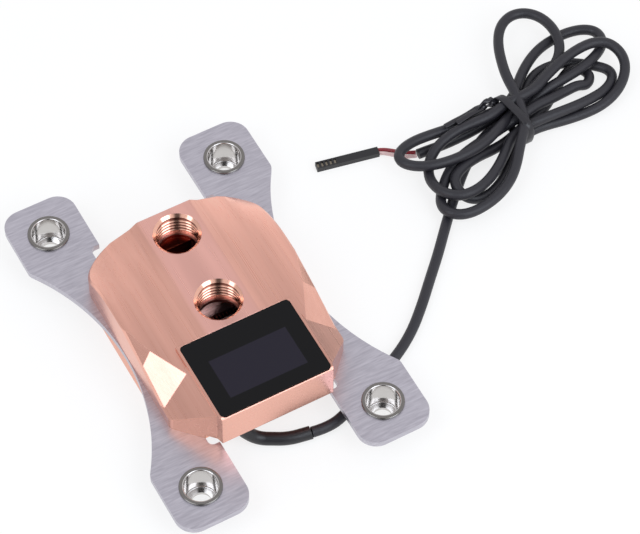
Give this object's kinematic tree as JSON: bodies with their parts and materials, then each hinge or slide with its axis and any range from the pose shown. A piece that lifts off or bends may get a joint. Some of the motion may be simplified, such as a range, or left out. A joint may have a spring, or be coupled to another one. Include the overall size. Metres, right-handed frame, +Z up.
{
  "type": "processor water block",
  "caption": "Copper liquid cooling cold plate with a cover block, display, steel side brackets and a hanked sensor cable.",
  "frame": {"origin": "centre of the four mounting holes, in the plane the cold plate's contact face and the bushings stand on", "axes": "+Z up from the contact face to the ports, -Y towards the display's front face, X across the block from bracket to bracket"},
  "size_m": [0.1854, 0.1116, 0.0224],
  "materials": {
    "block_copper": "satin machined copper with fine lines along the wings",
    "base_copper": "bright machined copper",
    "bracket_steel": "fine brush lines across the pads",
    "jet_steel": "plain",
    "bushing_nickel": "polished nickel",
    "screw_steel": "plain",
    "seal_rubber": "matte",
    "black_glass": "black glass with a dark window",
    "panel_dark": "dark display panel",
    "gasket_foam": "matte foam",
    "board_green": "circuit board",
    "plug_plastic": "black nylon",
    "contact_gold": "plated",
    "cable_sheath": "soft black sheath",
    "tie_plastic": "flat black twist tie",
    "wire_red": "dark red insulation",
    "wire_white": "white insulation"
  },
  "bodies": {
    "root": {"cold_plate": "base_copper", "top_block": "block_copper", "bracket_left": "bracket_steel", "bracket_right": "bracket_steel", "jet_plate": "jet_steel", "main_seal": "seal_rubber", "display_glass": "black_glass", "display_gasket": "gasket_foam", "display_panel": "panel_dark", "panel_cushion": "gasket_foam", "control_board": "board_green", "cable_header": "plug_plastic", "heat_shrink_sleeve": "cable_sheath", "cable": "cable_sheath", "cable_hank": "cable_sheath", "twist_tie": "tie_plastic", "plug_housing": "plug_plastic", "wire_red": "wire_red", "wire_white": "wire_white", "bushing_front_left": "bushing_nickel", "bushing_front_right": "bushing_nickel", "bushing_back_left": "bushing_nickel", "bushing_back_right": "bushing_nickel", "base_screw_1": "screw_steel", "base_screw_2": "screw_steel", "base_screw_3": "screw_steel", "base_screw_4": "screw_steel", "base_screw_5": "screw_steel", "base_screw_6": "screw_steel", "base_screw_7": "screw_steel", "base_screw_8": "screw_steel", "board_screw_1": "screw_steel", "board_screw_2": "screw_steel", "board_screw_3": "screw_steel", "board_screw_4": "screw_steel", "contact_1": "contact_gold", "contact_2": "contact_gold", "contact_3": "contact_gold", "contact_4": "contact_gold", "contact_5": "contact_gold"}
  },
  "joints": []
}
